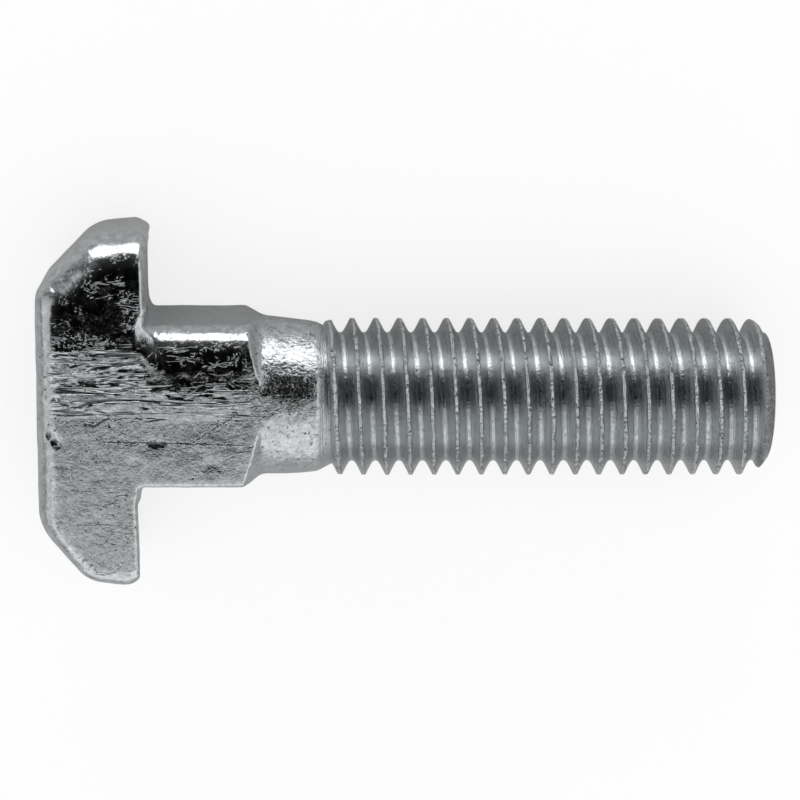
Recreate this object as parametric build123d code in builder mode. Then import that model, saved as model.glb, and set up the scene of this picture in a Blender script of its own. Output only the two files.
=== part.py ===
from build123d import *
import math
import os

# A T-head track bolt, M10 x 1.5 x 40, forged from one length of wire and thread-rolled.
# +X runs along the bolt from the bearing plane under the head (x = 0) to the threaded tip.
# Y runs along the two wings of the T. The flat sides of head and neck face +Z and -Z,
# and the bolt lies on one of them. Sizes are in millimetres and angles in degrees.

# Thread: ISO metric coarse, right-hand, 60 degree form with a P/8 crest. The bottom of
# the groove crosses the +Z side of the bolt at the datum and at every pitch from it.
thread_diameter = 10.0
thread_pitch = 1.5
thread_depth = 0.92
flank_angle = 30.0
crest_width = thread_pitch / 8
groove_datum = 12.861

# Places along the axis, measured from the bearing plane.
bolt_length = 40.0
shank_start = 7.95
shank_end = 10.95
first_crest = 11.8
full_thread = 12.9
run_out_end = 12.45

# Head: a bar across the bolt whose shoulders are bevelled towards the top. The two
# wings differ a little, as forged ones do: plus is the wing on the +Y side.
head_thickness = 6.65
side_width = 10.1
wing_reach_plus = 11.1
wing_reach_minus = 11.35
wing_lean = 0.25
end_height = 3.4
top_half_plus = 7.35
top_half_minus = 7.8
top_round_plus = 1.4
top_round_minus = 2.6
shoulder_round_plus = 1.2
shoulder_round_minus = 1.8
head_edge_round = 1.5
corner_nip_plus = 0.55
corner_nip_minus = 0.9

# Square neck: the die leaves the corner between +Y and +Z soft and fills the others.
neck_square = 10.0
neck_round_soft = 1.5
neck_round_crisp = 0.5
under_head_round = 1.2

# Cone from the corners of the neck down to the round shank, with a hollow round at its foot.
cone_start_radius = 7.6
cone_half_angle = 54.0
cone_foot = 7.35
cone_foot_round = 0.8
shank_radius = 4.98
shank_end_radius = 4.64
first_crest_radius = 4.88

# Chamfered tip with a small break before the end face.
tip_chamfer_angle = 49.0
tip_break_radius = 3.85
tip_break_length = 0.22
tip_face_radius = 3.5

# How far blanks and cutting tools stand clear of the finished faces.
clearance = 1.0
overrun = 0.1

# Derived sizes.
thread_radius = thread_diameter / 2
root_radius = thread_radius - thread_depth
flank_slope = math.tan(math.radians(flank_angle))
cone_length = (cone_start_radius - shank_radius) / math.tan(math.radians(cone_half_angle))
shank_taper = (shank_radius - shank_end_radius) / (shank_end - cone_foot)
shank_start_radius = shank_radius - shank_taper * (shank_start - cone_foot)
run_out_slope = (shank_end_radius - root_radius) / (run_out_end - shank_end)
tip_break = bolt_length - tip_break_length
chamfer_rise = thread_radius + clearance - tip_break_radius
chamfer_length = chamfer_rise / math.tan(math.radians(tip_chamfer_angle))
rod_start = shank_end - 3 * overrun
first_turn = groove_datum - math.ceil((groove_datum - rod_start) / thread_pitch) * thread_pitch
turn_count = math.ceil((bolt_length + thread_pitch - first_turn) / thread_pitch)

# The square neck, turned back to a cone that ends in the hollow round at the shank.
with BuildPart() as neck:
    with BuildSketch(Plane.YZ.offset(-head_thickness / 2)) as neck_section:
        Rectangle(neck_square, neck_square)
        # The sketch's own X and Y axes lie along the bolt's Y and Z.
        soft_corner = (neck_square / 2, neck_square / 2, 0)
        fillet(neck_section.vertices().sort_by_distance(soft_corner)[1:], neck_round_crisp)
        fillet(neck_section.vertices().sort_by_distance(soft_corner)[0], neck_round_soft)
    extrude(amount=head_thickness / 2 + shank_start)
    with BuildSketch() as turned_form:
        with BuildLine():
            Polyline(
                (-head_thickness, 0),
                (-head_thickness, cone_start_radius),
                (cone_foot - cone_length, cone_start_radius),
                (cone_foot, shank_radius),
                (shank_start, shank_start_radius),
                (shank_start, 0),
                close=True,
            )
        make_face()
        foot = turned_form.vertices().sort_by_distance((cone_foot, shank_radius, 0))[0]
        fillet(foot, cone_foot_round)
    revolve(axis=Axis.X, mode=Mode.INTERSECT)

# One turn of the V groove between two crests, swept along the helix of its root.
with BuildPart() as groove_turn:
    with BuildLine() as root_helix:
        Helix(thread_pitch, thread_pitch, root_radius, direction=(1, 0, 0))
    helix_start = root_helix.line @ 0
    outward = Vector(0, helix_start.Y, helix_start.Z).normalized()
    groove_height = thread_depth + overrun
    root_half = (thread_pitch - crest_width) / 2 - thread_depth * flank_slope
    mouth_half = root_half + groove_height * flank_slope
    with BuildSketch(Plane(origin=helix_start, x_dir=outward, z_dir=root_helix.line % 0)):
        with BuildLine():
            Polyline(
                (0, -root_half),
                (groove_height, -mouth_half),
                (groove_height, mouth_half),
                (0, root_half),
                close=True,
            )
        make_face()
    sweep(path=root_helix.line, is_frenet=True)

# The threaded rod: the groove is cut turn by turn, then the crests are trimmed so that
# they rise out of the shank at one end and fall away in the chamfer at the tip.
with BuildPart() as rod:
    with BuildSketch(Plane.YZ.offset(rod_start)):
        Circle(thread_radius)
    extrude(amount=bolt_length + clearance - rod_start)
    with Locations(*[(first_turn + turn * thread_pitch, 0, 0) for turn in range(turn_count)]):
        add(groove_turn.part, mode=Mode.SUBTRACT)
    with BuildSketch():
        with BuildLine():
            Polyline(
                (rod_start, 0),
                (rod_start, shank_end_radius - 2 * overrun),
                (first_crest, first_crest_radius),
                (full_thread, thread_radius + overrun / 10),
                (full_thread + clearance, thread_radius + clearance),
                (tip_break - chamfer_length, thread_radius + clearance),
                (tip_break, tip_break_radius),
                (bolt_length, tip_face_radius),
                (bolt_length, 0),
                close=True,
            )
        make_face()
    revolve(axis=Axis.X, mode=Mode.INTERSECT)

# The whole forging, from the head down.
with BuildPart() as bolt:
    with BuildSketch() as head_outline:
        with BuildLine():
            Polyline(
                (0, wing_reach_plus),
                (-end_height, wing_reach_plus - wing_lean),
                (-head_thickness, top_half_plus),
                (-head_thickness, -top_half_minus),
                (-end_height, wing_lean - wing_reach_minus),
                (0, -wing_reach_minus),
                close=True,
            )
        make_face()
        for corner, rounding in (
            ((-end_height, wing_reach_plus - wing_lean, 0), shoulder_round_plus),
            ((-head_thickness, top_half_plus, 0), top_round_plus),
            ((-head_thickness, -top_half_minus, 0), top_round_minus),
            ((-end_height, wing_lean - wing_reach_minus, 0), shoulder_round_minus),
        ):
            fillet(head_outline.vertices().sort_by_distance(corner)[0], rounding)
    # The bar starts wider than it ends up, so that the round under the head can run
    # the whole way about the neck before the sides are trimmed.
    extrude(amount=side_width / 2 + 2 * under_head_round, both=True)
    add(neck.part)
    reach = neck_square / 2 + overrun
    neck_root = (
        bolt.edges()
        .filter_by_position(Axis.X, -overrun, overrun)
        .filter_by_position(Axis.Y, -reach, reach)
        .filter_by_position(Axis.Z, -reach, reach)
    )
    fillet(neck_root, under_head_round)
    with BuildSketch():
        Rectangle(4 * bolt_length, 4 * bolt_length)
    extrude(amount=side_width / 2, both=True, mode=Mode.INTERSECT)
    # A soft round runs along the sides of the head, over the shoulders and the top.
    side_edges = bolt.edges().group_by(Axis.Z)[0] + bolt.edges().group_by(Axis.Z)[-1]
    fillet(side_edges.filter_by_position(Axis.X, -head_thickness, -overrun), head_edge_round)
    # The lower corners of the wings are nipped off where the flash was trimmed.
    with BuildSketch():
        for reach, nip in (
            (wing_reach_plus, corner_nip_plus),
            (-wing_reach_minus, corner_nip_minus),
        ):
            beyond = math.copysign(clearance, reach)
            inside = reach - math.copysign(nip, reach)
            with BuildLine():
                Polyline(
                    (-nip, reach + beyond),
                    (-nip, reach),
                    (0, inside),
                    (clearance, inside),
                    (clearance, reach + beyond),
                    close=True,
                )
            make_face()
    extrude(amount=side_width, both=True, mode=Mode.SUBTRACT)
    # The tapered shank runs on inside the thread as a cone, so that the groove grows
    # shallow over its last turn and runs out.
    with BuildSketch():
        with BuildLine():
            Polyline(
                (shank_start, 0),
                (shank_start, shank_start_radius),
                (shank_end, shank_end_radius),
                (run_out_end + clearance, root_radius - run_out_slope * clearance),
                (run_out_end + clearance, 0),
                close=True,
            )
        make_face()
    revolve(axis=Axis.X)
    add(rod.part)

print("bolt", bolt.part.is_valid, "volume", round(bolt.part.volume, 1))
bolt.part.label = "track_bolt"
os.makedirs("parts", exist_ok=True)
export_step(bolt.part, "parts/track_bolt.step")
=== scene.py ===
# %% [markdown]
# # A T-head track bolt, lying on its side
# The real bolt is one length of steel wire. A die squeezes one end into a bar, the
# head, and into a short square neck. The rest is left round, and two flat dies roll a
# thread into it. A thin coat of zinc covers everything. Here it is built the same way:
# a forged blank first, then the rolled thread, then the zinc.

import math

import bmesh
import bpy
from mathutils import Matrix, Vector, noise


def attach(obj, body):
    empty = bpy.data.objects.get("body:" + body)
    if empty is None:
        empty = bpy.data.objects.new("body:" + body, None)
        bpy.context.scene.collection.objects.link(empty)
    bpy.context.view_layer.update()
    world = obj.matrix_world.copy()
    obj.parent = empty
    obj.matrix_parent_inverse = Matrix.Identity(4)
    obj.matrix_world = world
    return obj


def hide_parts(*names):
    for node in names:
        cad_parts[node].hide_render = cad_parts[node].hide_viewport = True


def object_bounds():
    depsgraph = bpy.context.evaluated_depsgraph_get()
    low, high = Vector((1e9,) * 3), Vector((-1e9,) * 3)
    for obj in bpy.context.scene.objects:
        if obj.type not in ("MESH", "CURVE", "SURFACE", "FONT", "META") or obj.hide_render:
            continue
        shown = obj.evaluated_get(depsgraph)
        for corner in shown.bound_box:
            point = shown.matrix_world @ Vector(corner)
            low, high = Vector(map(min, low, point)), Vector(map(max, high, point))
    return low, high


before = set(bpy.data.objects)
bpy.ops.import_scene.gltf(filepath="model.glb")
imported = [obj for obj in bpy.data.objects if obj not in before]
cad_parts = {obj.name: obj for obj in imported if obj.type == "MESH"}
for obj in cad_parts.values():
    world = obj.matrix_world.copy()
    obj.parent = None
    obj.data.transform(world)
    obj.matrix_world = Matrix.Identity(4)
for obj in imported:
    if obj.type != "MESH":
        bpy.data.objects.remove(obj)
cad_box = [list(corner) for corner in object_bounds()]
print("CAD box, metres:", cad_box)

# %% [markdown]
# The sizes below are in millimetres, because a bolt maker thinks in them. The finished
# mesh is brought to metres at the very end. X runs along the bolt and is zero where the
# head bears on the track, Y runs along the two wings of the head, and Z is across.

# %% Sizes that the whole bolt shares
millimetre = 0.001
low, high = [[value / millimetre for value in corner] for corner in cad_box]
tip = high[0]
head_top = low[0]
side = min(high[2], -low[2])
wing_plus = high[1]
wing_minus = -low[1]
neck_half = 5.0
shank_end = 10.95
shank_end_radius = 4.64
axis_offset = -0.13
bolt_offset = 0.1
pitch = 1.5
crest_radius = 5.0
root_radius = 4.08
print("tip", round(tip, 2), "head", round(head_top, 2), "side", round(side, 2))

# %% Helpers for bmesh pieces
def bare_object(shape, name):
    """Turn a bmesh into an object, with its normals made to point outwards."""
    bmesh.ops.recalc_face_normals(shape, faces=shape.faces)
    mesh = bpy.data.meshes.new(name)
    shape.to_mesh(mesh)
    shape.free()
    thing = bpy.data.objects.new(name, mesh)
    bpy.context.scene.collection.objects.link(thing)
    return thing


def store(thing, shape):
    """Write a bmesh back into an object's own mesh."""
    shape.to_mesh(thing.data)
    shape.free()


def settle(thing):
    """Apply every modifier on a piece, and keep the plain mesh that comes out."""
    graph = bpy.context.evaluated_depsgraph_get()
    graph.update()
    mesh = bpy.data.meshes.new_from_object(thing.evaluated_get(graph))
    thing.modifiers.clear()
    old = thing.data
    thing.data = mesh
    bpy.data.meshes.remove(old)
    return thing


def discard(thing):
    """Remove a piece that has been used up, with its mesh."""
    mesh = thing.data
    bpy.data.objects.remove(thing)
    bpy.data.meshes.remove(mesh)


def carve(thing, other, operation):
    """Join, cut or intersect two closed pieces into the first."""
    cut = thing.modifiers.new(operation, "BOOLEAN")
    cut.operation = operation
    cut.solver = "EXACT"
    cut.object = other
    settle(thing)
    discard(other)
    return thing


def blend_along(points, x):
    """Read a height off a short run of points, with straight lines between them."""
    if x <= points[0][0]:
        return points[0][1]
    for (x0, y0), (x1, y1) in zip(points, points[1:]):
        if x <= x1:
            return y0 + (y1 - y0) * (x - x0) / (x1 - x0)
    return points[-1][1]

# %% [markdown]
# ## The head
# The head is a bar with bevelled shoulders. It starts as an outline raised to the full
# width of the bar, with its corners bevelled. The long edges then get their roundings.
# In the die these fill differently on each side, so every wall of the bar has a rounding
# of its own, and each is rolled onto the skin in turn, as a fillet is: what stands in the
# corner outside the arc is drawn straight back to it.

# %% The bar of the head
head_offset = -0.17
head_corners = [
    # x, y before the offset, rounding of the corner
    (0.0, wing_plus - 0.5, 0.0),
    (-0.55, wing_plus, 0.3),
    (-3.25, wing_plus - 0.3, 2.3),
    (head_top + 0.15, 7.35, 1.5),
    (head_top + 0.2, -7.4, 2.6),
    (-3.4, 0.3 - wing_minus, 1.9),
    (-0.95, -wing_minus, 0.5),
    (-0.4, -10.9, 0.3),
    (-0.5, -6.0, 0.0),
    (0.0, -5.0, 0.0),
]


def make_bar():
    """Raise the outline to the width of the bar and bevel its upright edges."""
    shape = bmesh.new()
    corners = [shape.verts.new((x, y, -side)) for x, y, rounding in head_corners]
    base = shape.faces.new(corners)
    raised = bmesh.ops.extrude_face_region(shape, geom=[base])["geom"]
    lifted = [item for item in raised if isinstance(item, bmesh.types.BMVert)]
    bmesh.ops.translate(shape, verts=lifted, vec=(0, 0, 2 * side))
    bmesh.ops.recalc_face_normals(shape, faces=shape.faces)
    for x, y, rounding in head_corners:
        upright = [
            edge for edge in shape.edges
            if all(math.hypot(vert.co.x - x, vert.co.y - y) < 0.01 for vert in edge.verts)
        ]
        if rounding > 0:
            turn = upright[0].calc_face_angle()
            bmesh.ops.bevel(
                shape, geom=upright, offset=rounding * math.tan(turn / 2), segments=6,
                profile=0.5, affect="EDGES", material=-1,
            )
    bmesh.ops.translate(shape, verts=shape.verts, vec=(0, head_offset, 0))
    return bare_object(shape, "head_bar")


def rim_rounding(wall):
    """The roundings between a wall of the bar and its front and back sides."""
    if wall.normal.x > 0.6:
        rolled = 0.35 if wall.normal.x > 0.97 else 0.0
        return rolled, rolled
    place = wall.calc_center_median()
    front = [(-9.5, 1.1), (-6.0, 1.4), (5.0, 1.5), (8.0, 1.6), (10.0, 2.5)]
    return blend_along(front, place.y), 1.5


def walls_of(thing):
    """Every wall round the bar: middle, direction out, direction along, reach, roundings."""
    shape = bmesh.new()
    shape.from_mesh(thing.data)
    shape.normal_update()
    walls = []
    for face in shape.faces:
        if abs(face.normal.z) < 0.5:
            place = face.calc_center_median()
            along = Vector((-face.normal.y, face.normal.x, 0))
            reach = max(abs((vert.co - place).dot(along)) for vert in face.verts)
            walls.append((place, face.normal.copy(), along, reach + 3.0, rim_rounding(face)))
    shape.free()
    return walls


def roll_roundings(thing, walls):
    """Draw what stands outside each wall's arc straight back to the arc."""
    for vert in thing.data.vertices:
        point = vert.co
        for place, outward, along, reach_along, (front, back) in walls:
            if abs((point - place).dot(along)) > reach_along:
                continue
            radius = front if point.z > 0 else back
            depth = (place - point).dot(outward)
            height = side - abs(point.z)
            if depth < radius and height < radius:
                across = radius - depth
                above = radius - height
                reach = math.hypot(across, above)
                if reach > radius:
                    point = point + outward * across * (radius / reach - 1)
                    point.z = math.copysign(side - radius + above * radius / reach, point.z)
        vert.co = point


def reskin(thing, voxel):
    """Give a piece one new closed skin of small squares about as wide as the voxel."""
    remesh = thing.modifiers.new("skin", "REMESH")
    remesh.mode = "VOXEL"
    remesh.voxel_size = voxel
    remesh.adaptivity = 0.0
    return settle(thing)


head_voxel = 0.2
head = make_bar()
head_walls = walls_of(head)
reskin(head, head_voxel)
roll_roundings(head, head_walls)
print("head walls", len(head_walls), "faces", len(head.data.polygons))

# %% [markdown]
# ## The neck, the cone and the shank
# Below the head the wire is square, so that the bolt can't turn in its slot. The square
# is turned back to a cone, which ends in a hollow round where the shank begins. Turning
# a square gives curved corners of its own accord: the shape is what a square bar and a
# spun profile have in common, so an intersection makes it exactly.

# %% The turned profile, spun about the bolt's axis
turned_profile = [
    # x, radius
    (-1.6, 0.0),
    (-1.6, 7.7),
    (6.00, 7.7),
    (6.60, 6.55),
    (6.88, 6.00),
    (7.06, 5.66),
    (7.21, 5.38),
    (7.36, 5.18),
    (7.58, 5.07),
    (7.85, 5.03),
    (9.20, 4.94),
    (10.20, 4.86),
    (shank_end, shank_end_radius + 0.12),
    (11.7, 4.36),
    (12.5, 4.05),
    (13.2, 3.8),
    (13.2, 0.0),
]


def make_spun(profile, steps):
    """Spin a profile once about the bolt's axis."""
    shape = bmesh.new()
    corners = [shape.verts.new((x, radius, 0)) for x, radius in profile]
    edges = [shape.edges.new(pair) for pair in zip(corners, corners[1:])]
    bmesh.ops.spin(
        shape, geom=corners + edges, cent=(0, 0, 0), axis=(1, 0, 0),
        dvec=(0, 0, 0), angle=2 * math.pi, steps=steps, use_merge=True,
    )
    bmesh.ops.remove_doubles(shape, verts=shape.verts, dist=0.0005)
    return bare_object(shape, "turned_form")


neck_bar_length = 16.0
neck_bar_middle = 6.0
neck_roundings = [
    # side in y, side in z, rounding of the corner between them
    (1, 1, 1.5),
    (1, -1, 0.4),
    (-1, 1, 0.3),
    (-1, -1, 0.5),
]


def make_square_bar():
    """A square bar along the bolt, with a rounding of its own on each long corner."""
    shape = bmesh.new()
    bmesh.ops.create_cube(shape, size=1.0)
    bmesh.ops.scale(shape, verts=shape.verts, vec=(neck_bar_length, 2 * neck_half, 2 * neck_half))
    bmesh.ops.translate(shape, verts=shape.verts, vec=(neck_bar_middle, 0, 0))
    near_corner = neck_half - 0.1
    for y_sign, z_sign, radius in neck_roundings:
        long_edges = [
            edge for edge in shape.edges
            if all(
                vert.co.y * y_sign > near_corner and vert.co.z * z_sign > near_corner
                for vert in edge.verts
            )
        ]
        bmesh.ops.bevel(
            shape, geom=long_edges, offset=radius, segments=8, profile=0.5,
            affect="EDGES", material=-1,
        )
    return bare_object(shape, "square_bar")


neck = carve(make_square_bar(), make_spun(turned_profile, 128), "INTERSECT")
print("neck and shank faces", len(neck.data.polygons))

# %% [markdown]
# ## The hollow round under the head
# The die leaves a soft cove where the neck meets the wings. It is a square that shrinks
# as it rises, along a quarter of a circle. The flat sides of the head cut it off, which
# leaves a slanting edge on each side of the neck. The die filled the two sides unevenly:
# the cove is narrow and low on the -Y side, and wider and flatter on the +Y side.

# %% The cove
cove_radius = 1.1
cove_foot = 0.8
cove_rings = 10
minus_side_width = 0.6
minus_side_drop = 0.45
plus_side_width = 1.15
plus_side_height = 0.7


def make_cove():
    """A square plate that shrinks ring by ring as it rises from the head to the neck."""
    shape = bmesh.new()
    base = bmesh.ops.create_grid(shape, x_segments=1, y_segments=1, size=neck_half)
    bmesh.ops.rotate(
        shape, verts=base["verts"], cent=(0, 0, 0),
        matrix=Matrix.Rotation(math.radians(90), 3, "Y"),
    )
    bmesh.ops.bevel(
        shape, geom=shape.verts[:], offset=1.0, segments=6, profile=0.5,
        affect="VERTICES", material=-1,
    )
    floor_face = shape.faces[:]
    start = (neck_half + cove_radius) / neck_half
    bmesh.ops.scale(shape, verts=shape.verts, vec=(1, start, start))
    bmesh.ops.translate(shape, verts=shape.verts, vec=(-cove_foot, 0, 0))
    last_width = start
    last_height = -cove_foot
    face = floor_face
    for step in range(cove_rings + 1):
        height = cove_radius * step / cove_rings
        width = cove_radius - math.sqrt(cove_radius**2 - (cove_radius - height) ** 2)
        width = (neck_half - 0.02 + width) / neck_half
        grown = bmesh.ops.extrude_face_region(shape, geom=face)["geom"]
        face = [item for item in grown if isinstance(item, bmesh.types.BMFace)]
        ring = [item for item in grown if isinstance(item, bmesh.types.BMVert)]
        bmesh.ops.scale(shape, verts=ring, vec=(1, width / last_width, width / last_width))
        bmesh.ops.translate(shape, verts=ring, vec=(height - last_height, 0, 0))
        last_width = width
        last_height = height
    for sign in (1, -1):
        cut = bmesh.ops.bisect_plane(
            shape, geom=shape.verts[:] + shape.edges[:] + shape.faces[:],
            plane_co=(0, 0, sign * (neck_half + 0.01)), plane_no=(0, 0, sign),
            clear_outer=True,
        )
        rim = [item for item in cut["geom_cut"] if isinstance(item, bmesh.types.BMEdge)]
        bmesh.ops.holes_fill(shape, edges=rim)
    for vert in shape.verts:
        if vert.co.y < 0.1 - neck_half:
            vert.co.y = minus_side_width * (vert.co.y + neck_half) - neck_half
            vert.co.x -= minus_side_drop
        elif vert.co.y > neck_half - 0.1:
            vert.co.y = plus_side_width * (vert.co.y - neck_half) + neck_half
            vert.co.x = plus_side_height * vert.co.x
    return bare_object(shape, "cove")


cove = make_cove()
print("cove faces", len(cove.data.polygons))

# %% [markdown]
# ## One skin over the forged blank
# Forging makes one skin with soft inner corners. A voxel remesh joins the three forms in
# the same way, and a little smoothing then does what the scale between wire and die did.

# %% Join and remesh
def join(pieces, name):
    """Put several pieces into one mesh, without joining their skins yet."""
    shape = bmesh.new()
    for piece in pieces:
        shape.from_mesh(piece.data)
        discard(piece)
    return bare_object(shape, name)


blank_voxel = 0.155
blank = reskin(join([head, neck, cove], "forged_blank"), blank_voxel)
print("blank faces", len(blank.data.polygons))

# %% [markdown]
# ## Die wear and waviness
# Nothing on a forged blank is quite flat. The upper side of the head falls away towards
# the +Y wing's end, the neck's upper side rolls over early beside its softer corner, and
# shallow waves and dents cover the rest. A small lip stands on the bearing side near the
# end of the +Y wing. All are small, but a bright metal shows them.

# %% Shape the skin
dents = [
    # x, y and z of the middle, radius, depth
    (-5.6, 0.75, 4.7, 0.42, 0.16),
    (-5.5, -1.75, 4.8, 0.42, 0.18),
    (-5.15, -2.1, 5.0, 0.3, 0.12),
    (0.9, -2.2, 5.0, 0.3, 0.08),
    (4.4, -3.5, 5.0, 0.6, 0.05),
    (-3.2, 2.2, 5.0, 0.6, 0.04),
    (2.6, 1.9, 5.0, 0.5, 0.04),
    (-6.4, 3.6, 2.4, 0.7, 0.12),
    (-5.9, 6.9, 3.0, 0.6, 0.1),
    (-2.0, 6.4, -5.0, 0.6, 0.08),
    (-4.0, -5.2, -5.0, 0.5, 0.1),
    (3.3, 1.5, -5.0, 0.5, 0.06),
]


waves = [
    # height, length, and a shift that sets each one apart from the others
    (0.030, 3.2, 1.0),
    (0.016, 1.1, 7.0),
    (0.008, 0.45, 3.0),
]
axis_sway = [
    # x, and how far the bolt's middle lies off its axis there
    (5.8, 0.0),
    (7.4, 0.03),
    (9.2, -0.08),
    (11.0, axis_offset),
]
lip_middle = 10.35
lip_width = 0.45
lip_height = 0.2
rough_from = 7.2


def fall_away(x, y, z):
    """How far the flat sides drop below their highest line, on the head and neck."""
    crown = max(0.0, y) ** 2 / 900 + max(0.0, -y - 1) ** 2 / 900
    if z < 0:
        return crown
    # The head's upper side drops evenly at first, and steeply near the +Y wing's end.
    outward = y - 0.21 * (x + 2.0)
    head_fall = 0.07 * max(0.0, y - 3.5) + max(0.0, outward - 9.0) ** 2 / 8
    # The neck's upper side drops sooner, and curls over towards the soft corner.
    neck_fall = 0.06 * max(0.0, y - 0.9) + max(0.0, y - 2.1) ** 2 / 21
    # The share is 0 on the head and 1 on the neck, and changes along a slanting line.
    share = min(1.0, max(0.0, (x + 0.3 - 0.9 * max(0.0, 4.1 - y)) / 1.2))
    # The drop of the neck fades out where the cone ends.
    reach = min(1.0, max(0.0, (7.6 - x) / 1.5))
    return crown * max(1 - share, reach) + head_fall * (1 - share) + neck_fall * share * reach


def underside_shift(x, y, z):
    """The bearing sides of the wings lean a little, as the die's draft left them."""
    share = min(1.0, max(0.0, (x + 1.6) / 1.15))
    raised = blend_along([(5.0, 0.0), (6.0, 0.26), (10.0, 0.22)], y)
    lean = blend_along([(-5.8, 0.33), (-5.0, 0.0), (5.0, 0.0), (6.0, 0.16)], y)
    return share * (raised + lean * z / side)


def wave(point, size, seed):
    """Smooth noise between -1 and 1, with swells about as long as the size."""
    return noise.noise(Vector((point.x / size + seed, point.y / size, point.z / size)))


def shape_blank(thing):
    """Smooth the blank, then move every point by the waves, the dents and the wear."""
    shape = bmesh.new()
    shape.from_mesh(thing.data)
    for again in range(2):
        bmesh.ops.smooth_vert(
            shape, verts=shape.verts, factor=0.5, use_axis_x=True, use_axis_y=True,
            use_axis_z=True,
        )
    shape.normal_update()
    for vert in shape.verts:
        point = vert.co.copy()
        shift = sum(height * wave(point, size, seed) for height, size, seed in waves)
        if point.x > rough_from:
            shift *= 1.3
        for x, y, z, radius, depth in dents:
            far = (point - Vector((x, y, z))).length / radius
            if far < 1.6:
                shift -= depth * math.exp(-2.2 * far * far)
        drop = fall_away(point.x, point.y, point.z)
        vert.co = point + vert.normal * shift
        vert.co.z *= 1 - drop / side
        vert.co.y += blend_along(axis_sway, point.x)
        vert.co.x += underside_shift(point.x, point.y, point.z)
        if point.x > -0.5:
            lip = math.exp(-(((point.y - lip_middle) / lip_width) ** 2))
            vert.co.x += lip_height * lip * (point.x + 0.5) / 0.5
    store(thing, shape)


shape_blank(blank)
print("blank shaped")

# %% [markdown]
# ## The rolled thread
# A thread is one tooth profile carried round and forwards at the same time. The spin
# operator does just that when each step also moves along the axis. Rolling folds metal
# up from both sides, and where the two sides meet they leave a fine seam along the
# crest. The first crest rises out of the shank, and the tip is chamfered.

# %% One tooth, spun into a screw
steps_per_turn = 84
crest_at_plus_y = 13.236
crest_roughness = 0.03
half_tooth = [
    # distance from the crest along the bolt, radius
    (0.0, 4.980), (0.05, 4.996), (0.10, 4.985), (0.14, 4.935), (0.18, 4.855),
    (0.26, 4.695), (0.365, 4.49), (0.44, 4.355), (0.50, 4.255), (0.55, 4.185),
    (0.60, 4.135), (0.65, 4.102), (0.70, 4.086), (0.75, root_radius),
]
turned_limit = [
    # x, and the most that the radius may be there
    (10.0, 4.5), (shank_end, 4.53), (11.45, 4.78), (11.8, 4.87), (12.9, 5.0), (38.45, 5.0),
    (38.75, 4.90), (39.05, 4.68), (39.35, 4.38), (39.6, 4.0),
]
thread_start = 10.3
thread_end = tip - 0.40


def make_thread():
    """Spin one turn of the tooth, repeat it along the bolt, trim it and close its ends."""
    shape = bmesh.new()
    start = crest_at_plus_y - 3 * pitch
    tooth = half_tooth + [(pitch - x, radius) for x, radius in half_tooth[-2::-1]]
    corners = [shape.verts.new((start + x, radius, 0)) for x, radius in tooth]
    edges = [shape.edges.new(pair) for pair in zip(corners, corners[1:])]
    bmesh.ops.spin(
        shape, geom=corners + edges, cent=(0, 0, 0), axis=(1, 0, 0),
        dvec=(pitch / steps_per_turn, 0, 0), angle=2 * math.pi,
        steps=steps_per_turn, use_merge=False,
    )
    one_turn = shape.verts[:] + shape.edges[:] + shape.faces[:]
    for turn in range(1, math.ceil((tip - start) / pitch) + 1):
        more = bmesh.ops.duplicate(shape, geom=one_turn)["geom"]
        moved = [item for item in more if isinstance(item, bmesh.types.BMVert)]
        bmesh.ops.translate(shape, verts=moved, vec=(turn * pitch, 0, 0))
    bmesh.ops.remove_doubles(shape, verts=shape.verts, dist=0.004)
    for vert in shape.verts:
        radius = math.hypot(vert.co.y, vert.co.z)
        rough = noise.noise(Vector((vert.co.x / 0.3, vert.co.y / 0.5, vert.co.z / 0.5)))
        seam = max(0.0, radius - 4.9) / 0.1
        wanted = min(radius + crest_roughness * rough * seam, crest_radius)
        wanted = min(wanted, blend_along(turned_limit, vert.co.x))
        vert.co.y *= wanted / radius
        vert.co.z *= wanted / radius
    for place, direction in ((thread_start, -1), (thread_end, 1)):
        cut = bmesh.ops.bisect_plane(
            shape, geom=shape.verts[:] + shape.edges[:] + shape.faces[:],
            plane_co=(place, 0, 0), plane_no=(direction, 0, 0), clear_outer=True,
        )
        rim = [item for item in cut["geom_cut"] if isinstance(item, bmesh.types.BMEdge)]
        if direction < 0:
            bmesh.ops.holes_fill(shape, edges=rim)
        else:
            close_tip(shape, rim)
    return bare_object(shape, "rolled_thread")


def close_tip(shape, rim):
    """Carry the open rim inwards in rings to make the rounded, sheared end face."""
    radius = 4.0
    place = thread_end
    rings = [
        # radius, distance past the end of the thread
        (3.80, 0.07),
        (3.45, 0.11),
        (2.7, 0.14),
        (1.8, 0.16),
        (0.9, 0.17),
    ]
    for smaller, forward in rings:
        grown = bmesh.ops.extrude_edge_only(shape, edges=rim)["geom"]
        rim = [item for item in grown if isinstance(item, bmesh.types.BMEdge)]
        ring = [item for item in grown if isinstance(item, bmesh.types.BMVert)]
        bmesh.ops.scale(shape, verts=ring, vec=(1, smaller / radius, smaller / radius))
        bmesh.ops.translate(shape, verts=ring, vec=(thread_end + forward - place, 0, 0))
        radius = smaller
        place = thread_end + forward
    bmesh.ops.contextual_create(shape, geom=rim)
    bmesh.ops.translate(shape, verts=shape.verts, vec=(0, axis_offset, 0))


thread = make_thread()
print("thread faces", len(thread.data.polygons))

# %% Join the thread to the blank
bolt = carve(blank, thread, "UNION")
bolt.name = "forged_bolt"
print("bolt faces", len(bolt.data.polygons))

# %% [markdown]
# The mesh is checked for open edges here, and brought to metres. Nothing may reach past
# the size that the CAD model fixes, so the last step holds every point inside that box.

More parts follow.
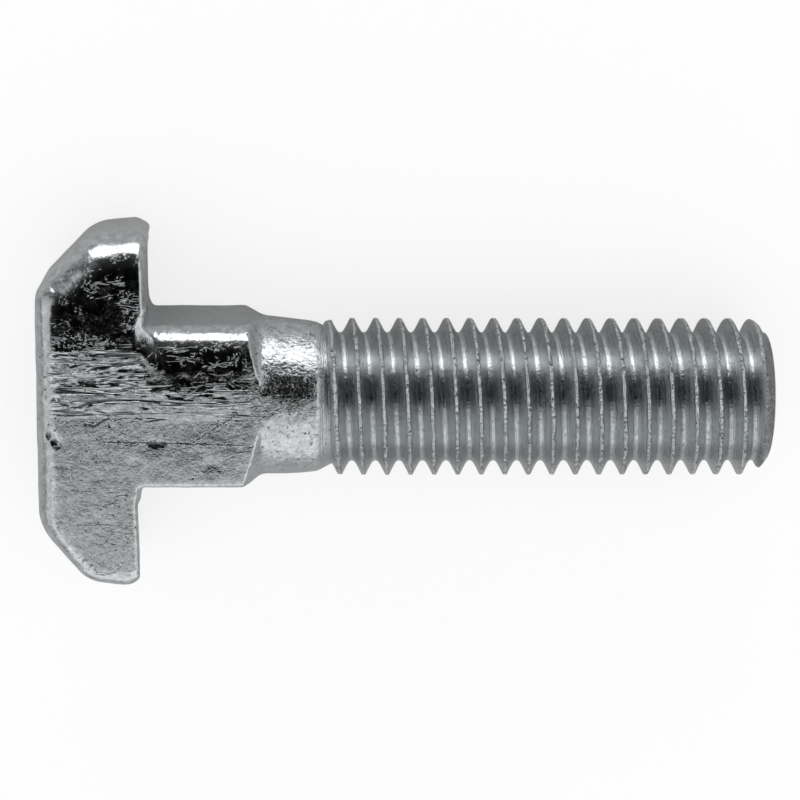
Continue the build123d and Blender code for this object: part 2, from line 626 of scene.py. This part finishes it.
# %% Finish the mesh
def finish_mesh(thing):
    """Weld, shift, hold inside the box, and scale. Returns open edges and triangles."""
    shape = bmesh.new()
    shape.from_mesh(thing.data)
    bmesh.ops.remove_doubles(shape, verts=shape.verts, dist=0.0008)
    bmesh.ops.translate(shape, verts=shape.verts, vec=(0, bolt_offset, 0))
    for vert in shape.verts:
        for axis in range(3):
            vert.co[axis] = min(high[axis], max(low[axis], vert.co[axis]))
    bmesh.ops.scale(shape, verts=shape.verts, vec=(millimetre,) * 3)
    bmesh.ops.recalc_face_normals(shape, faces=shape.faces)
    for face in shape.faces:
        face.smooth = True
    open_edges = [edge for edge in shape.edges if len(edge.link_faces) != 2]
    triangles = sum(len(face.verts) - 2 for face in shape.faces)
    store(thing, shape)
    return len(open_edges), triangles


open_edges, triangles = finish_mesh(bolt)
bolt.data.materials.clear()
print("open edges", open_edges, "triangles", triangles)

# %% [markdown]
# ## Zinc plate over forged steel
# Thin zinc copies whatever lies under it, so most of the look is relief: draw lines along
# the flat sides, fine pits, and streaks round the thread. The colour is one cool grey,
# lighter on the crests with a painted highlight, and darker in grooves, pits and chips
# with painted shade, and in dark specks. Every pattern reads the object's own coordinates
# in millimetres, and most of them come out as 0 where the metal is plain and 1 where the
# pattern is full. The relief and the colour are then worked out from the same patterns,
# so that a pit is both deep and dark with painted shade.

# %% Node helpers
def new_node(tree, kind, settings=None, **inputs):
    """Add a node, set its options, and fill or link its inputs by name."""
    node = tree.nodes.new(kind)
    for key, value in (settings or {}).items():
        setattr(node, key, value)
    for key, value in inputs.items():
        name = key.replace("_", " ")
        numbered = key[0] == "i" and key[1:].isdigit()
        socket = node.inputs[int(key[1:])] if numbered else node.inputs[name]
        if isinstance(value, bpy.types.NodeSocket):
            tree.links.new(value, socket)
        else:
            socket.default_value = value
    return node


def worked(tree, operation, first, second=0.0, third=0.0):
    """The result of one sum: a math node with up to three numbers or sockets."""
    node = new_node(tree, "ShaderNodeMath", {"operation": operation}, i0=first, i1=second, i2=third)
    return node.outputs[0]


def product(tree, first, *others):
    """Several values multiplied together."""
    for other in others:
        first = worked(tree, "MULTIPLY", first, other)
    return first


def strongest(tree, first, *others):
    """The highest of several values, so that overlapping marks don't add up."""
    for other in others:
        first = worked(tree, "MAXIMUM", first, other)
    return first


def distance_from(tree, value, middle):
    """How far a value is from a middle one, whichever side it is on."""
    return worked(tree, "ABSOLUTE", worked(tree, "SUBTRACT", value, middle))


def vector_worked(tree, operation, first, second):
    """The outputs of one vector sum: the vector first, then the single value."""
    node = new_node(tree, "ShaderNodeVectorMath", {"operation": operation}, i0=first, i1=second)
    return node.outputs


def ramp_between(tree, value, start, end, low_value=0.0, high_value=1.0):
    """A soft step from the low to the high value while the input runs from start to end."""
    node = new_node(
        tree, "ShaderNodeMapRange", {"interpolation_type": "SMOOTHSTEP"},
        Value=value, From_Min=start, From_Max=end, To_Min=low_value, To_Max=high_value,
    )
    return node.outputs["Result"]


def noise_at(tree, vector, scale, detail=3.0, roughness=0.55, distortion=0.0):
    """A cloudy pattern around 0.5. The scale is in clouds per millimetre."""
    node = new_node(
        tree, "ShaderNodeTexNoise", None, Vector=vector, Scale=scale, Detail=detail,
        Roughness=roughness, Distortion=distortion,
    )
    return node.outputs[0]


def stretched(tree, vector, x, y, z, shift=0.0):
    """The same place with each axis scaled, so that a pattern there becomes longer or finer."""
    node = new_node(
        tree, "ShaderNodeMapping", None, Vector=vector, Scale=(x, y, z),
        Location=(shift, shift, shift),
    )
    return node.outputs[0]


def blended(tree, share, first, second):
    """A colour between two others. Either may be a fixed colour or a socket."""
    node = new_node(tree, "ShaderNodeMix", {"data_type": "RGBA"}, i0=share, i6=first, i7=second)
    return node.outputs[2]


class Patterns:
    """Patterns that belong together, each under its own name."""


# %% Which part of the bolt a point is on
def parts_of_the_bolt(tree):
    """The place in millimetres, and a soft mask for each part that has its own look."""
    coordinates = new_node(tree, "ShaderNodeTexCoord")
    normal = coordinates.outputs["Normal"]
    facing = new_node(tree, "ShaderNodeSeparateXYZ", None, Vector=normal).outputs
    at = Patterns()
    at.mm = stretched(tree, coordinates.outputs["Object"], *([1 / millimetre] * 3))
    at.x, at.y, at.z = new_node(tree, "ShaderNodeSeparateXYZ", None, Vector=at.mm).outputs
    at.flat_side = ramp_between(tree, worked(tree, "ABSOLUTE", facing[2]), 0.86, 0.97)
    at.forged = ramp_between(tree, at.x, shank_end + 0.25, shank_end - 0.05)
    at.threaded = worked(tree, "SUBTRACT", 1.0, at.forged)
    at.neck_or_head = ramp_between(tree, at.x, 7.2, 6.0)
    at.off_end = ramp_between(tree, facing[0], 0.97, 0.85)
    at.chamfer = product(tree, ramp_between(tree, at.x, 38.75, 39.05), at.off_end)
    return at


# %% [markdown]
# ### Marks of the wire and the die
# The wire comes scored lengthwise from the drawing die. Where the forging die pressed
# hard, the scores are ironed out. Where it pressed less, a band of them is left, and it
# narrows from the head down to the neck.

# %% Draw lines
def draw_lines(tree, at):
    """The lines, the band that they stand in, and how rough the face past it may be."""
    lines = noise_at(tree, stretched(tree, at.mm, 0.13, 1.7, 1.0), 1.0, 3.0, 0.5, 0.5)
    lines = ramp_between(tree, distance_from(tree, lines, 0.5), 0.01, 0.075)
    band_middle = ramp_between(tree, at.x, -0.6, 1.0, 1.9, 0.5)
    band_reach = ramp_between(tree, at.x, -0.6, 1.0, 1.7, 0.6)
    off_band = worked(tree, "SUBTRACT", distance_from(tree, at.y, band_middle), band_reach)
    faint, full = 0.01, 1.0
    band = ramp_between(tree, off_band, 0.9, -0.3, faint, full)
    broken = noise_at(tree, stretched(tree, at.mm, 0.5, 0.9, 0.9, 4.0), 1.0, 2.0)
    band = product(tree, band, ramp_between(tree, broken, 0.36, 0.56))
    band = product(tree, band, product(tree, at.flat_side, at.neck_or_head))
    past_band = worked(tree, "SUBTRACT", worked(tree, "SUBTRACT", at.y, band_middle), band_reach)
    ironed = product(tree, ramp_between(tree, past_band, -0.2, 0.8, 0.0, 0.55), at.neck_or_head)
    return lines, band, worked(tree, "SUBTRACT", 1.0, ironed)


# %% Scratches, wrinkles, hairlines and pits
scratches_and_pits = [
    # start and end on the flat side, in x and y, and the width
    ((-3.45, -0.80), (-2.85, -0.95), 0.13),
    ((-2.85, -0.95), (-1.9, -0.40), 0.12),
    ((-2.3, -1.95), (6.3, -2.15), 0.10),
    ((0.5, -2.05), (1.5, -2.1), 0.24),
    ((-5.9, -1.2), (-5.2, -2.1), 0.26),
    ((-3.9, -0.5), (-1.0, -0.55), 0.05),
    ((-5.9, 0.9), (-5.3, 0.7), 0.24),
    ((-4.9, -1.0), (-4.2, -0.6), 0.06),
    ((-4.4, -7.2), (-1.2, -7.25), 0.05),
    ((-4.3, -5.0), (-3.0, -5.1), 0.05),
    ((3.4, -1.9), (6.0, -0.2), 0.07),
]


def mark_on(tree, place, ragged, start, end, width):
    """A rough-edged scratch or pit between two points of the flat side."""
    start = Vector((*start, 0))
    run = Vector((*end, 0)) - start
    ahead = run.normalized()
    beside = Vector((-ahead.y, ahead.x, 0))
    local = vector_worked(tree, "SUBTRACT", place, start)[0]
    forward = vector_worked(tree, "DOT_PRODUCT", local, ahead)[1]
    aside = vector_worked(tree, "DOT_PRODUCT", local, beside)[1]
    beyond = worked(tree, "SUBTRACT", distance_from(tree, forward, run.length / 2), run.length / 2)
    beyond = worked(tree, "MAXIMUM", beyond, 0.0)
    aside = worked(tree, "ABSOLUTE", worked(tree, "MULTIPLY_ADD", ragged, 0.35, aside))
    away = worked(tree, "ADD", aside, beyond)
    away = worked(tree, "MULTIPLY_ADD", ragged, 1.2 * width, away)
    return ramp_between(tree, away, width, 0.3 * width)


def scratches(tree, at):
    """The marks in the list, which stand on the upper flat side alone."""
    ragged = worked(tree, "SUBTRACT", noise_at(tree, at.mm, 2.6, 3.0, 0.65), 0.5)
    marks = [mark_on(tree, at.mm, ragged, *mark) for mark in scratches_and_pits]
    upper_side = product(tree, at.flat_side, ramp_between(tree, at.z, 2.0, 3.0))
    return product(tree, strongest(tree, *marks), upper_side)


def wrinkles(tree, at):
    """Fine wrinkles in patches, thick on the upper parts and thin on the lower."""
    worm = ramp_between(tree, noise_at(tree, at.mm, 6.5, 1.0, 0.5, 0.6), 0.56, 0.66)
    patches = ramp_between(tree, noise_at(tree, at.mm, 1.1, 2.0), 0.50, 0.64)
    upper = ramp_between(tree, at.y, -1.5, 3.5, 0.25, 1.0)
    return product(tree, worm, product(tree, patches, upper))


def hairlines(tree, at):
    """Thin grooved lines on the flat sides, which the colour darkens with painted shade, with gaps
    between groups of them.
    """
    hair = noise_at(tree, stretched(tree, at.mm, 0.35, 1.3, 1.0, 9.0), 1.0, 3.0, 0.6, 0.5)
    hair = ramp_between(tree, distance_from(tree, hair, 0.5), 0.016, 0.0)
    hair = product(tree, hair, product(tree, at.flat_side, at.neck_or_head))
    return product(tree, hair, ramp_between(tree, noise_at(tree, at.mm, 0.7, 2.0), 0.51, 0.60))


def pits(tree, at):
    """Small round pits: one in each cell of a Voronoi pattern, with some cells left out."""
    cells = new_node(
        tree, "ShaderNodeTexVoronoi", {"feature": "F1"}, Vector=at.mm, Scale=1.7, Randomness=1.0
    )
    chosen = ramp_between(tree, noise_at(tree, at.mm, 0.8, 2.0), 0.46, 0.58)
    return product(tree, ramp_between(tree, cells.outputs["Distance"], 0.17, 0.06), chosen)


# %% [markdown]
# ### Marks of the thread dies
# The dies leave streaks that follow the thread round. On the crest, where the metal that
# is folded up from both sides meets, there is a broken seam with small chips along it.

# %% The rolled thread's own pattern
def thread_marks(tree, at):
    """Streaks, chips and seam, with masks for the crest and the flanks."""
    angle = worked(tree, "DIVIDE", worked(tree, "ARCTAN2", at.z, at.y), 2 * math.pi)
    turns = worked(tree, "DIVIDE", worked(tree, "SUBTRACT", at.x, crest_at_plus_y), pitch)
    # The place on the tooth, in pitches: 0 on the crest and half a pitch in the root.
    tooth = worked(tree, "WRAP", worked(tree, "SUBTRACT", turns, angle), 0.5, -0.5)
    wobble = worked(tree, "SUBTRACT", noise_at(tree, at.mm, 1.3, 3.0, 0.6), 0.5)
    seam_place = worked(tree, "MULTIPLY_ADD", wobble, 0.16, tooth)
    unrolled = new_node(
        tree, "ShaderNodeCombineXYZ", None, X=product(tree, tooth, 7.5), Y=turns,
        Z=product(tree, angle, 5.0),
    )
    rolled = Patterns()
    rolled.streaks = noise_at(tree, unrolled.outputs[0], 2.4, 4.0, 0.6)
    off_crest = worked(tree, "ABSOLUTE", tooth)
    past_crest = ramp_between(tree, off_crest, 0.06, 0.13)
    short_of_root = ramp_between(tree, off_crest, 0.475, 0.43)
    rolled.flank = product(tree, past_crest, short_of_root, at.threaded)
    crest = ramp_between(tree, worked(tree, "ABSOLUTE", seam_place), 0.11, 0.06)
    rolled.crest = product(tree, crest, at.off_end)
    rolled.chips = noise_at(tree, at.mm, 6.0, 3.0, 0.65, 1.0)
    seam = ramp_between(tree, distance_from(tree, seam_place, 0.07), 0.026, 0.008)
    seam = product(tree, seam, ramp_between(tree, noise_at(tree, at.mm, 2.0, 2.0), 0.40, 0.50))
    crest_pits = product(tree, ramp_between(tree, rolled.chips, 0.53, 0.60), rolled.crest)
    rolled.seam = product(tree, strongest(tree, seam, crest_pits), at.threaded, at.off_end)
    return rolled


# %% The zinc material
def add_up(tree, patterns, relief):
    """Lay patterns over a relief, each with its own height in millimetres."""
    for pattern, height in patterns:
        relief = worked(tree, "MULTIPLY_ADD", pattern, height, relief)
    return relief


def make_zinc():
    zinc = bpy.data.materials.new("zinc_plate_on_forged_steel")
    zinc.use_nodes = True
    tree = zinc.node_tree
    shader = tree.nodes["Principled BSDF"]
    at = parts_of_the_bolt(tree)
    lines, band, calm = draw_lines(tree, at)
    hair = hairlines(tree, at)
    marks = scratches(tree, at)
    pitted = pits(tree, at)
    rolled = thread_marks(tree, at)
    grain = noise_at(tree, at.mm, 5.0, 3.0, 0.7, 0.6)

    # Relief of the forged part. The skin is rougher from the cone on than before it.
    peel = noise_at(tree, at.mm, 2.4, 3.0, 0.55, 0.4)
    swell = noise_at(tree, at.mm, 0.9, 3.0, 0.5)
    forged_relief = product(tree, peel, ramp_between(tree, at.x, 5.0, 7.5, 0.014, 0.042))
    forged_relief = add_up(tree, (
        (product(tree, lines, band), 0.065),
        (hair, -0.03),
        (marks, -0.04),
        (pitted, -0.045),
        (swell, 0.04),
        (grain, ramp_between(tree, at.x, 6.5, 8.0, 0.020, 0.034)),
    ), forged_relief)
    forged_relief = product(tree, forged_relief, calm)
    forged_relief = add_up(tree, ((wrinkles(tree, at), 0.012),), forged_relief)

    # Relief of the thread.
    thread_relief = add_up(tree, (
        (product(tree, rolled.streaks, at.off_end), 0.07),
        (product(tree, rolled.chips, rolled.crest), 0.18),
        (rolled.seam, -0.06),
        (product(tree, rolled.chips, at.chamfer), 0.10),
        (grain, 0.026),
    ), 0.0)
    relief = product(tree, forged_relief, at.forged)
    relief = worked(tree, "MULTIPLY_ADD", thread_relief, at.threaded, relief)
    bump = new_node(tree, "ShaderNodeBump", None, Height=relief, Distance=millimetre, Strength=1.0)
    tree.links.new(bump.outputs["Normal"], shader.inputs["Normal"])

    # Where it is darker: painted shade in the grooves, pits, scratches, hairlines and the
    # crest's seam and chips, and also dark specks and dark patches on the chamfer.
    painted_groove_shade = product(tree, worked(tree, "SUBTRACT", 1.0, lines), band)
    # Dark specks with no relief, fewer on the head and on the thread.
    specks = ramp_between(tree, noise_at(tree, at.mm, 4.6, 2.0, 0.6, 0.8), 0.58, 0.68)
    fewer_on_the_head = ramp_between(tree, at.x, 6.0, 8.0, 0.35, 0.75)
    fewer_on_the_thread = ramp_between(tree, at.x, 12.0, 10.5, 0.6, 1.0)
    specks = product(tree, specks, product(tree, fewer_on_the_head, fewer_on_the_thread))
    # The chamfer at the tip is darker in patches.
    dark_chamfer_patches = product(tree, at.chamfer, ramp_between(tree, rolled.chips, 0.35, 0.6, 0.35, 0.9))
    pits_and_hair = product(tree, strongest(tree, pitted, hair), at.forged)
    painted_shade_and_dark_patches = strongest(tree, pits_and_hair, painted_groove_shade, marks, rolled.seam, specks, dark_chamfer_patches)

    # Colour: one cool grey, lighter on the crests with a painted highlight, and duller on the flanks.
    shade = ramp_between(tree, noise_at(tree, at.mm, 2.2, 5.0, 0.62), 0.3, 0.7)
    # A painted highlight lightens the crests of the thread.
    crest_painted_highlight = product(tree, rolled.crest, at.threaded)
    shade = worked(tree, "MULTIPLY_ADD", crest_painted_highlight, 1.2, shade)
    colour = blended(tree, shade, (0.46, 0.485, 0.495, 1.0), (0.66, 0.685, 0.695, 1.0))
    colour = blended(tree, product(tree, rolled.flank, 0.75), colour, (0.50, 0.52, 0.53, 1.0))
    # Painted shade darkens the hollows here, along with the dark specks and chamfer patches.
    colour = blended(tree, painted_shade_and_dark_patches, colour, (0.12, 0.125, 0.13, 1.0))
    tree.links.new(colour, shader.inputs["Base Color"])

    # Gloss: smoothest on the crests, where the dies burnished it.
    rough = ramp_between(tree, noise_at(tree, at.mm, 2.2, 4.0, 0.6), 0.3, 0.7, 0.09, 0.18)
    rough = worked(tree, "MULTIPLY_ADD", at.threaded, -0.05, rough)
    rough = worked(tree, "MULTIPLY_ADD", rolled.flank, 0.11, rough)
    tree.links.new(rough, shader.inputs["Roughness"])
    shader.inputs["Metallic"].default_value = 1.0
    return zinc


bolt.data.materials.append(make_zinc())
print("zinc nodes", len(bolt.data.materials[0].node_tree.nodes))

# %% Put the bolt in the frame
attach(bolt, "root")
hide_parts("track_bolt")

# %% [markdown]
# ## The table, the light and the camera
# The bolt lies on a pale sheet. A long soft box stands low behind it and gives the
# bright edge lights, a broad panel in front fills the lower faces, and the room above
# stays dim, so that flat metal facing up looks dark.

# %% The pale sheet
sheet_half = 1.5
sheet_gap = 0.01 * millimetre
paper_grey = 0.93
# The grey that the metal sees on the sheet is a painted shade.
painted_shade_grey_in_metal = 0.52
glow_share = 0.75


def make_sheet():
    """A wide pale sheet just under the bolt."""
    shape = bmesh.new()
    bmesh.ops.create_grid(shape, x_segments=1, y_segments=1, size=sheet_half)
    bmesh.ops.translate(shape, verts=shape.verts, vec=(0, 0, cad_box[0][2] - sheet_gap))
    sheet = bare_object(shape, "pale_sheet")
    paper = bpy.data.materials.new("pale_paper")
    paper.use_nodes = True
    coat = paper.node_tree.nodes["Principled BSDF"]
    coat.inputs["Roughness"].default_value = 0.9
    coat.inputs["Specular IOR Level"].default_value = 0.1
    # Seen straight on it is mostly lit from within, like paper on a light table. The
    # metal sees it in a darker grey, a painted shade that stands for the bolt's shadow on the sheet.
    tree = paper.node_tree
    glow = new_node(tree, "ShaderNodeEmission", None, Color=(1, 1, 1, 1), Strength=1.0)
    path = new_node(tree, "ShaderNodeLightPath")
    in_metal = path.outputs["Is Glossy Ray"]
    grey_with_painted_shade = ramp_between(tree, in_metal, 0.0, 1.0, paper_grey, painted_shade_grey_in_metal)
    tree.links.new(grey_with_painted_shade, coat.inputs["Base Color"])
    share = worked(tree, "MULTIPLY", path.outputs["Is Camera Ray"], glow_share)
    mixed = new_node(
        tree, "ShaderNodeMixShader", None, Fac=share, i1=coat.outputs[0], i2=glow.outputs[0]
    )
    tree.links.new(mixed.outputs[0], tree.nodes["Material Output"].inputs["Surface"])
    sheet.data.materials.append(paper)


make_sheet()

# %% The lamps and the room
bolt_middle = 0.016
room_brightness = 0.38
room_falloff = 1.6


def add_lamp(name, place, width, height, radiance, glossy=True):
    """A flat lamp that faces the bolt. It looks equally bright whatever its size."""
    light = bpy.data.lights.new(name, "AREA")
    light.shape = "RECTANGLE"
    light.size = width
    light.size_y = height
    light.energy = radiance * math.pi * width * height
    lamp = bpy.data.objects.new(name, light)
    lamp.location = place
    away = Vector(place) - Vector((bolt_middle, 0, 0))
    lamp.rotation_euler = away.to_track_quat("Z", "Y").to_euler()
    lamp.visible_glossy = glossy
    bpy.context.scene.collection.objects.link(lamp)


add_lamp("soft_box_behind", (bolt_middle, 0.42, 0.10), 0.6, 0.19, 2.6)
add_lamp("panel_in_front", (bolt_middle, -0.40, 0.20), 0.8, 0.40, 0.90)
add_lamp("panel_above_front", (bolt_middle, -0.199, 0.408), 0.8, 0.27, 0.68)
add_lamp("panel_at_the_head_end", (-0.36, 0.0, 0.24), 0.6, 0.34, 0.65)
add_lamp("panel_at_the_tip_end", (0.39, 0.0, 0.24), 0.6, 0.34, 0.80)
add_lamp("light_over_the_sheet", (bolt_middle, 0.0, 0.8), 1.2, 1.2, 1.05, glossy=False)


def make_room():
    """A room that is lightest at the height of the table and dark above and below."""
    room = bpy.data.worlds.new("dim_room")
    room.use_nodes = True
    tree = room.node_tree
    sky = tree.nodes["Background"]
    direction = new_node(tree, "ShaderNodeTexCoord").outputs["Generated"]
    up = new_node(tree, "ShaderNodeSeparateXYZ", None, Vector=direction).outputs[2]
    level = worked(tree, "SUBTRACT", 1.0, worked(tree, "ABSOLUTE", up))
    level = worked(tree, "MAXIMUM", level, 0.0)
    glow = product(tree, worked(tree, "POWER", level, room_falloff), room_brightness)
    tree.links.new(glow, sky.inputs["Strength"])
    sky.inputs["Color"].default_value = (1, 1, 1, 1)
    bpy.context.scene.world = room


make_room()

# %% The camera
tilt = math.radians(11)
turn = math.radians(2.2)
distance = 0.18
focal_length = 127.18125
aim_x = (cad_box[0][0] + cad_box[1][0]) / 2 - 0.415 * millimetre
aim_y = -0.27 * millimetre
aim = Vector((aim_x, aim_y, 0))
look_back = Vector((-math.sin(turn), math.cos(turn) * math.sin(tilt), math.cos(turn) * math.cos(tilt)))
eye = bpy.data.cameras.new("camera")
eye.lens = focal_length
eye.sensor_width = 36.0
eye.clip_start = 0.01
camera = bpy.data.objects.new("camera", eye)
camera.location = aim + look_back * distance
across = Vector((0, math.cos(tilt), -math.sin(tilt))).cross(look_back).normalized()
upward = look_back.cross(across)
camera.rotation_euler = Matrix((across, upward, look_back)).transposed().to_euler()
bpy.context.scene.collection.objects.link(camera)
bpy.context.scene.camera = camera
bpy.context.scene.view_settings.view_transform = "Standard"
